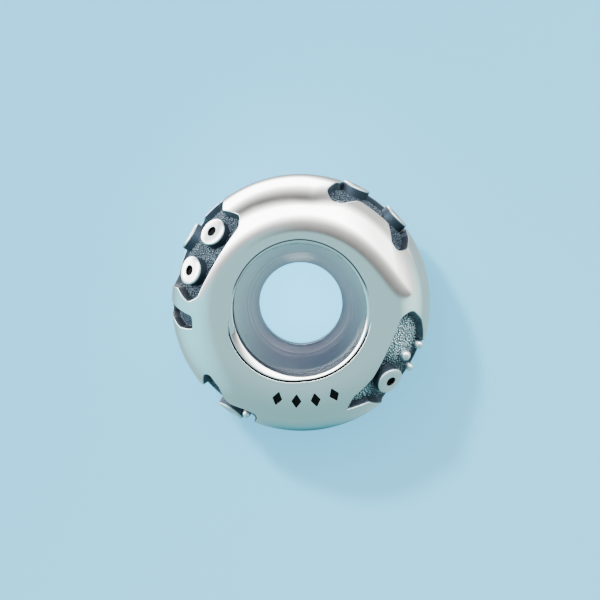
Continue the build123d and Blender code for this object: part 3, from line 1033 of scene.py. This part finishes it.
def swept_ring_tree():
    """A profile swept along a level circle."""
    tree, given, result = tree_with("swept_ring", Profile="Object", Radius="Float", Height="Float",
                                    Steps="Int", Finish="Material")
    circle = add_node(tree, "GeometryNodeCurvePrimitiveCircle", {
        "Resolution": given["Steps"], "Radius": given["Radius"]})
    level = add_node(tree, "GeometryNodeSetCurveNormal", {"Curve": circle.outputs[0]})
    level.mode = "Z_UP"
    place = add_node(tree, "ShaderNodeCombineXYZ", {"Z": given["Height"]}).outputs[0]
    raised = add_node(tree, "GeometryNodeTransform", {"Geometry": level.outputs[0], "Translation": place})
    profile = add_node(tree, "GeometryNodeObjectInfo", {"Object": given["Profile"]}).outputs["Geometry"]
    swept = add_node(tree, "GeometryNodeCurveToMesh", {"Curve": raised.outputs[0], "Profile Curve": profile})
    finish_with(tree, swept.outputs[0], given["Finish"], result)
    return tree


profile = ring_profile()
blank = bpy.data.objects.new("blank", bpy.data.meshes.new("blank"))
silicone_ring = baked("silicone_ring", blank, swept_ring_tree(), {
    "Profile": profile, "Radius": HOLE_RADIUS * MM, "Height": HALF * MM, "Steps": RING_STEPS,
    "Finish": silicone})
bm = bmesh.new()
bm.from_mesh(silicone_ring.data)
smoothed(silicone_ring.data, bm)
print("ring: volume mm3", round(bm.calc_volume(signed=True) * 1e9, 2), "faces", len(bm.faces))
bm.free()

# %% [markdown]
# ## The floor and the light
# The bead lies on a pale blue tabletop. A mirror finish shows only what stands round it, so jewellery is
# photographed in a light tent: cloth walls, with one large softbox behind the bead. Area lamps would give
# hard edges in the mirror, so the tent is drawn in the world's own nodes, by direction. The softbox fades
# in from a dark frame overhead, is brightest halfway down, and ends in a dark gap above the horizon.

# %% Floor
FLOOR_SIZE = 600.0
PALE, PALER = (0.10, 0.48, 0.74), (0.11, 0.51, 0.78)
FLOOR_GLOW = (0.07, 0.46, 0.74)
PAINTED_NEAR_LIGHT = (0.13, 0.58, 0.84)      # painted light: the glow grows towards this at the lower right
PAINTED_LIGHT_POOL = (0.33, 1.75, 2.60)      # a painted pool of light, in the patch of floor that shows through the bore
PAINTED_LIGHT_POOL_REACH = (1.7, 2.6)
NEAR = 12.0                         # how far from the middle the floor has taken all of its painted near light

floor_finish, tree, shader, coords = new_material("tabletop")
floor_mesh = bpy.data.meshes.new("floor")
half = FLOOR_SIZE / 2 * MM
floor_corners = [(-half, -half, 0), (half, -half, 0), (half, half, 0), (-half, half, 0)]
floor_mesh.from_pydata(floor_corners, [], [(0, 1, 2, 3)])
floor_mesh.materials.append(floor_finish)
floor = bpy.data.objects.new("floor", floor_mesh)
bpy.context.collection.objects.link(floor)
tree.links.new(mix_colours(tree, from_noise(tree, coords, (40, 2.0)), PALE, PALER), shader["Base Color"])
from_middle = add_node(tree, "ShaderNodeVectorMath", {0: coords}, operation="LENGTH").outputs["Value"]
east, north, _ = add_node(tree, "ShaderNodeSeparateXYZ", {"Vector": coords}).outputs
# Painted light: the floor's glow brightens towards the lower right, and much more in a pool under the bore
nearness = ramp(tree, maths(tree, "SUBTRACT", east, north), -NEAR * MM, NEAR * MM)
glow = mix_colours(tree, nearness, FLOOR_GLOW, PAINTED_NEAR_LIGHT)
glow = mix_colours(tree, ramp(tree, from_middle, *[reach * MM for reach in PAINTED_LIGHT_POOL_REACH]), PAINTED_LIGHT_POOL, glow)
tree.links.new(glow, shader["Emission Color"])
shader["Emission Strength"].default_value = 1.0
shader["Roughness"].default_value = 0.8
floor.visible_glossy = False
print("floor", FLOOR_SIZE, "mm, nodes:", len(tree.nodes))

# %% Directions in the tent, and helpers to draw with them
world = bpy.data.worlds.new("light_tent")
bpy.context.scene.world = world
world.use_nodes = True
world.cycles_visibility.diffuse = False
tent = world.node_tree
direction = tent.nodes.new("ShaderNodeTexCoord").outputs["Generated"]
across, away, overhead = add_node(tent, "ShaderNodeSeparateXYZ", {"Vector": direction}).outputs


def plus(a, b):
    """The sum of two values."""
    return maths(tent, "ADD", a, b)


def minus(a, b):
    """The first value less the second."""
    return maths(tent, "SUBTRACT", a, b)


def times(*values):
    """The product of two or more values."""
    product = values[0]
    for value in values[1:]:
        product = maths(tent, "MULTIPLY", product, value)
    return product


def least(*values):
    """The smallest of two or more values."""
    smallest = values[0]
    for value in values[1:]:
        smallest = maths(tent, "MINIMUM", smallest, value)
    return smallest


def by(direction, start, end, at_start=0.0, at_end=1.0):
    """A value that changes evenly between two places along a direction, and holds still beyond them."""
    return ramp(tent, direction, start, end, at_start, at_end)


fall = times(maths(tent, "ARCTAN2", away, overhead), 180 / pi)      # degrees from overhead to the far horizon
print("tent directions ready")

# %% [markdown]
# ## The softbox
# Its brightness is counted in stops, as a photographer does: one more stop is twice the light. Across is
# -1 at the left and 1 at the right. The softbox's near edge bows towards the viewer at its sides.

# %% The softbox's brightness, in stops
SOFTBOX_EDGE = 26.0                 # degrees down from overhead, at its middle
SOFTBOX_REACH = (0.95, 1.2)         # how far it spreads to the left and to the right
SOFTBOX_MIDDLE = 0.10
FULL_STOPS, RIGHT_STOPS = 3.6, 2.4  # the most, and the most at the far right
LAST_STOPS = -0.9                   # beyond the far end of the tent
FADE_WIDTH = 36.0                   # degrees in which the tent below the gap brightens

aside = maths(tent, "DIVIDE", minus(across, SOFTBOX_MIDDLE), by(across, 0.1, 0.5, *SOFTBOX_REACH))
past_edge = plus(minus(fall, SOFTBOX_EDGE), times(aside, aside, SOFTBOX_EDGE))
frame_stops = plus(by(past_edge, -18, -1, -2.1, -0.1), by(past_edge, -28, -19, -6.0, 0.0))
rising_stops = by(past_edge, -1, 18, 0.0, 4.1)
near_stops = least(plus(frame_stops, rising_stops), by(across, 0.35, 0.7, FULL_STOPS, RIGHT_STOPS))

fade_start = by(across, 0.1, 0.4, 59.0, 70.0)
fade_end = plus(by(across, -0.5, 0.0, 85.0, 76.0), by(across, 0.1, 0.4, 0.0, 17.0))
fade = maths(tent, "DIVIDE", minus(fall, fade_start), minus(fade_end, fade_start), use_clamp=True)
gap_depth = plus(by(across, 0.05, 0.4, 5.3, 3.3), by(across, 0.4, 0.9, 0.0, -1.6))
gap_end = plus(by(across, -0.5, 0.0, 86.0, 80.0), by(across, 0.1, 0.25, 0.0, 12.0))
below_gap = maths(tent, "DIVIDE", minus(fall, gap_end), FADE_WIDTH, use_clamp=True)
below_stops = times(below_gap, by(across, 0.1, 0.4, 5.3, 0.0))

drawn_in = times(maths(tent, "MAXIMUM", times(across, 25.0), times(across, 45.0)), by(across, 0.9, 0.6))
last_stops = by(plus(fall, drawn_in), 140, 165, FULL_STOPS, LAST_STOPS)
side_stops = plus(by(overhead, 0.3, -0.8, 1.85, -1.8), by(across, 0.9, 0.5, 0.0, 8.0))
stops = plus(minus(near_stops, times(fade, gap_depth)), below_stops)
softbox = maths(tent, "POWER", 2.0, least(stops, last_stops, side_stops))
print("softbox nodes:", len(tent.nodes))

# %% [markdown]
# ## The cloth
# The tent's cloth is pale blue-green: plainer overhead, lighter at both sides and darker low in front. It
# shows wherever the softbox is dimmer than it, apart from the dark frame and the gap.

# %% The tent's cloth, and the two together
CLOTH, FRONT_CLOTH = (0.46, 0.82, 0.89), (0.27, 0.60, 0.64)
RIGHT_CLOTH, LEFT_CLOTH = (1.13, 1.78, 1.76), (0.54, 1.50, 1.74)
LOW_FRONT_CLOTH, DEEP_FRONT_CLOTH = (0.109, 0.50, 0.61), (0.050, 0.20, 0.28)

cloth = mix_colours(tent, by(away, -0.4, -1.0), CLOTH, FRONT_CLOTH)
cloth = mix_colours(tent, by(across, 0.84, 1.0), cloth, RIGHT_CLOTH)
cloth = mix_colours(tent, by(across, -0.55, -0.9), cloth, LEFT_CLOTH)
from_front = maths(tent, "ARCTAN2", maths(tent, "ABSOLUTE", across), times(away, -1.0))
in_front = by(away, -0.02, -0.25)
for colour, height, width in ((LOW_FRONT_CLOTH, (-0.25, -0.70), (0.45, 0.15)),
                              (DEEP_FRONT_CLOTH, (-0.66, -0.92), (0.30, 0.06))):
    share = times(by(overhead, *height), by(from_front, *width), in_front)
    cloth = mix_colours(tent, share, cloth, colour)

box_colour = add_node(tent, "ShaderNodeCombineXYZ", {0: softbox, 1: softbox, 2: softbox}).outputs[0]
lighter = mix_colours(tent, 1.0, cloth, box_colour, blend_type="LIGHTEN")
on_frame = times(by(past_edge, -21, -17), by(across, -0.25, -0.02))
on_gap = times(by(fall, 50, 58), by(fall, 165, 150), by(across, -0.75, -0.6))
low_right = times(by(across, 0.5, 0.75), by(overhead, 0.15, -0.25))
box_alone = times(maths(tent, "MAXIMUM", on_frame, on_gap), minus(1.0, low_right), by(fall, 179, 150))
sky = mix_colours(tent, box_alone, lighter, box_colour)
tent.links.new(sky, tent.nodes["Background"].inputs["Color"])
print("tent nodes:", len(tent.nodes))

# %% [markdown]
# ## Lamps for the matt surfaces
# The mirror needs the tent, but the tabletop and the soft ring scatter light, so ordinary lamps light them.
# The lamps are kept out of reflections. A photographer would do the same with small flags and snoots,
# which light one surface and not the next: here each lamp is linked to what it lights. The ring has one
# for each side of its funnel, one from above, and a narrow spot for the glint at the top of its hole.

# %% Lamps
LAMP_DISTANCE = 120.0
Lamp = namedtuple("Lamp", "name direction energy colour size lit")
LAMPS = (Lamp("ceiling", (0.0, 0.1, 1.0), 0.22, (1.0, 1.0, 1.0), 160, floor),
         Lamp("ring_left", (0.77, -0.36, 0.40), 0.15, (0.50, 1.0, 0.88), 70, silicone_ring),
         Lamp("ring_right", (-0.72, -0.48, 0.42), 0.125, (0.52, 1.0, 0.94), 70, silicone_ring),
         Lamp("ring_front", (-0.10, -0.78, 0.62), 0.040, (0.64, 1.0, 0.93), 50, silicone_ring),
         Lamp("ring_back", (0.78, 0.38, 0.50), 0.024, (1.0, 0.86, 0.84), 40, silicone_ring),
         Lamp("ring_top", (0.0, 0.0, 1.0), 0.056, (0.74, 0.60, 1.0), 60, silicone_ring))
GLINT_AIM, GLINT_DISTANCE = Vector((-0.05, 1.84, 2.64)), 15.0


def shine(kind, name, direction, energy, colour, lit, aim=BEAD_MIDDLE, distance=LAMP_DISTANCE):
    """A lamp that shines on one place from a direction, and lights one object alone."""
    data = bpy.data.lights.new(name, kind)
    data.energy, data.color = energy, colour
    made = bpy.data.objects.new(name, data)
    place = aim + Vector(direction).normalized() * distance
    made.location = place * MM
    made.rotation_euler = (aim - place).to_track_quat("-Z", "Y").to_euler()
    made.visible_glossy = made.visible_camera = False
    bpy.context.collection.objects.link(made)
    made.light_linking.receiver_collection = bpy.data.collections.new("lit_by_" + name)
    made.light_linking.receiver_collection.objects.link(lit)
    return made


sun = shine("SUN", "sun", (-0.50, 0.72, 0.70), 4.6, (0.95, 0.97, 1.0), floor)
sun.data.angle = radians(7)
for row in LAMPS:
    shine("AREA", row.name, row.direction, row.energy, row.colour, row.lit).data.size = row.size * MM
glint = shine("SPOT", "ring_glint", (0.0, -0.45, 0.90), 0.020, (1.0, 0.87, 0.66), silicone_ring,
              GLINT_AIM, GLINT_DISTANCE)
glint.data.spot_size, glint.data.spot_blend, glint.data.shadow_soft_size = radians(1.0), 1.0, 0.2 * MM
glint.scale = (5.0, 1.0, 1.0)       # a wide, low spot

# %% [markdown]
# ## Join the pieces to the frame
# Each piece rides on the bead's one body, and takes the place of its CAD solid.

# %% Ride and replace, and remove the spare pieces
for piece in (silver_body, buttons, domes, pebbles):
    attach(piece, "root")
    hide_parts("bead_body")
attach(silicone_ring, "root")
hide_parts("stopper_ring")
for spare in (button, dome, pebble, profile):
    bpy.data.objects.remove(spare)
